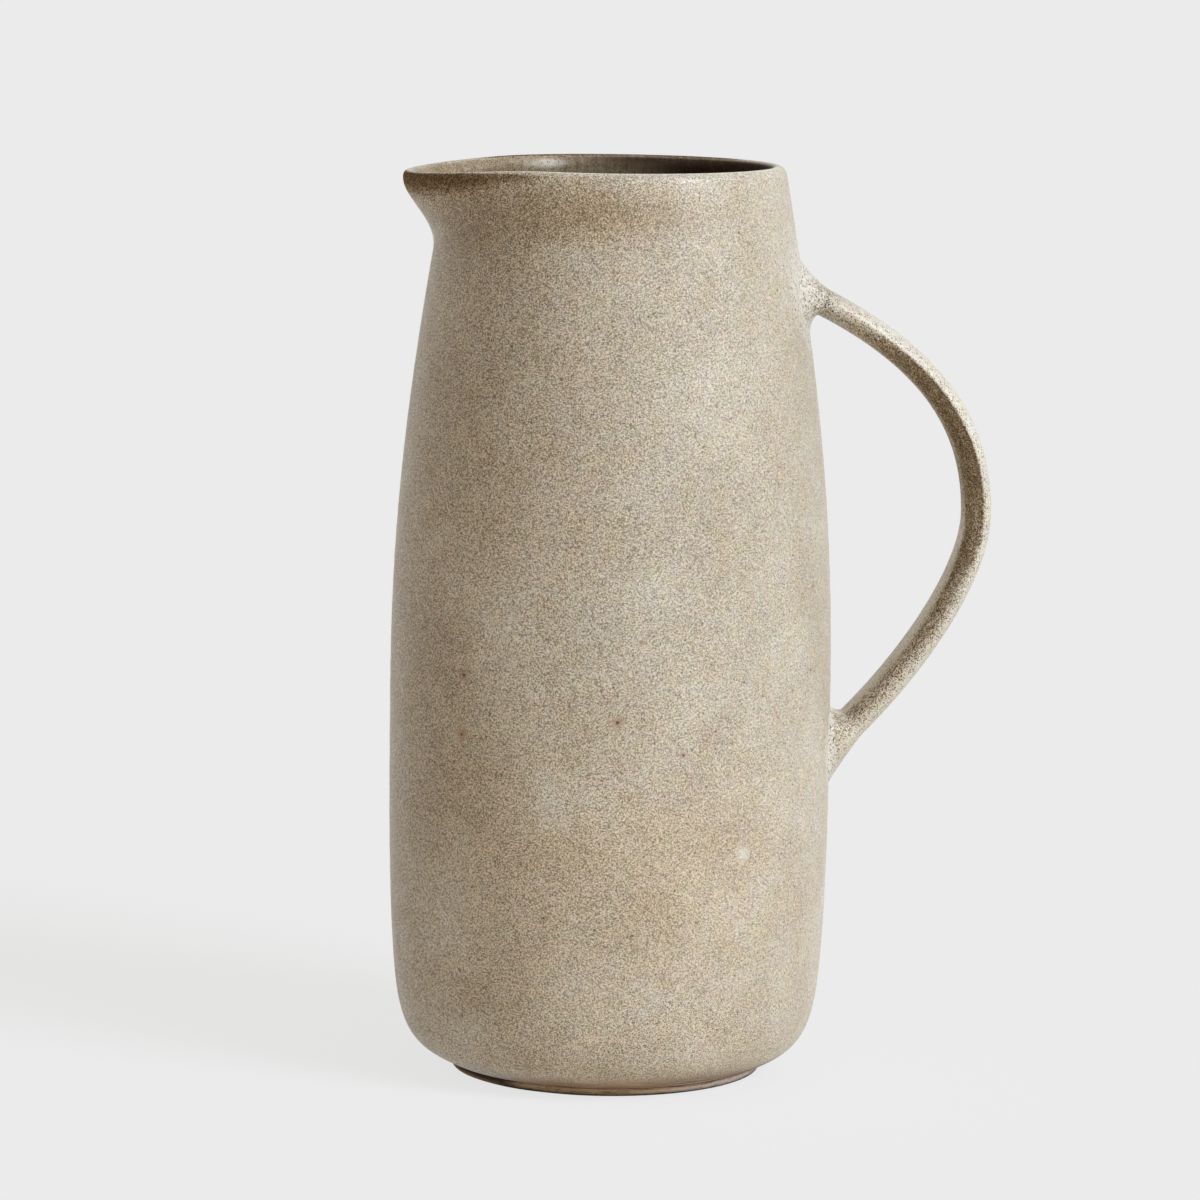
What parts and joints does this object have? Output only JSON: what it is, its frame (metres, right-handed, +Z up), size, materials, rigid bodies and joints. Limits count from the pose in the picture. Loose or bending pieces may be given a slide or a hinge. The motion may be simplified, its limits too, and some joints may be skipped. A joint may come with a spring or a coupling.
{
  "type": "jug",
  "caption": "Tall hand-thrown stoneware pouring jug with a pulled pouring lip, a slim strap handle, a rounded heel and an unglazed turned foot, in a satin oyster glaze with fine brown speckle.",
  "frame": {"origin": "centre of the foot ring, on the surface that the jug stands on", "axes": "+Z up along the jug's axis, +X toward the handle, so the pouring lip points along -X"},
  "size_m": [0.1654, 0.1216, 0.25],
  "materials": {
    "glaze": "satin-matt oyster glaze with fine brown speckle",
    "handle_glaze": "the same glaze, broken to brown along the strap's edges",
    "join_glaze": "the same glaze, pooled thick and creamy, with dark pinholes",
    "bare_clay": "unglazed dark iron-bearing stoneware, rubbed smooth"
  },
  "bodies": {
    "root": {"body": "glaze", "handle": "handle_glaze", "upper_join": "join_glaze", "lower_join": "join_glaze", "foot_ring": "bare_clay"}
  },
  "joints": []
}
